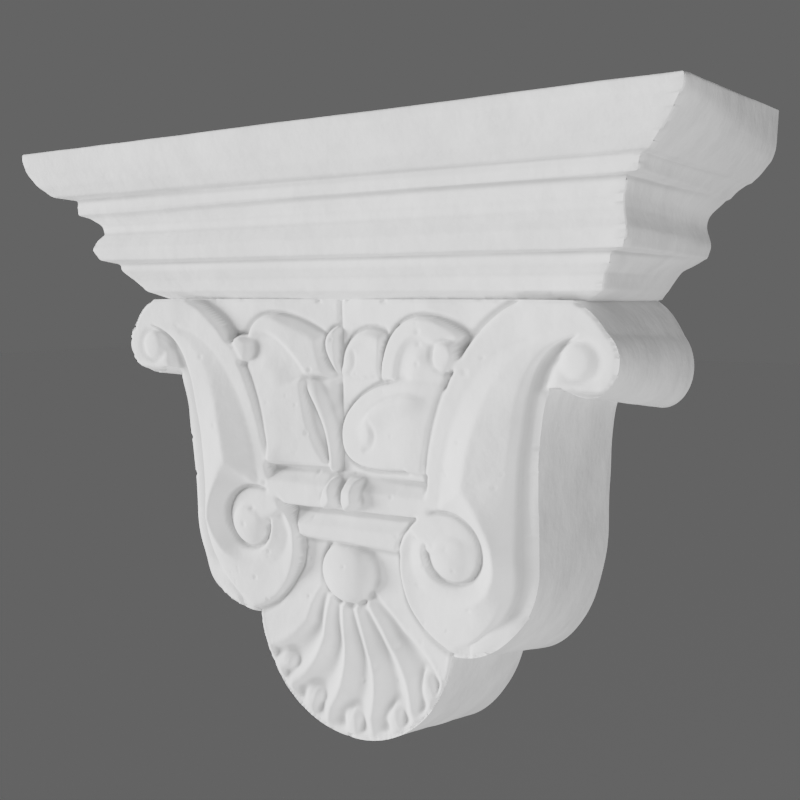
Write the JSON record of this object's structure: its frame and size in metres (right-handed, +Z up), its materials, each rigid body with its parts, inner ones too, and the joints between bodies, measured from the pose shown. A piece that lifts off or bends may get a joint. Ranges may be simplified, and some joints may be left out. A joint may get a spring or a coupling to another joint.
{
  "type": "wall console",
  "caption": "Cast plaster wall console: a mitred cornice over two S-scrolls, a leaf panel, a ball and a fluted shell, flat at the back.",
  "frame": {"origin": "middle of the flat back, on the line where the cornice meets the carved body", "axes": "+Y into the wall, +X to the viewer's right, +Z up"},
  "size_m": [0.42, 0.1766, 0.3994],
  "materials": {
    "plaster": "matt white cast gypsum plaster"
  },
  "bodies": {
    "root": {"plaster_console": "plaster"}
  },
  "joints": []
}
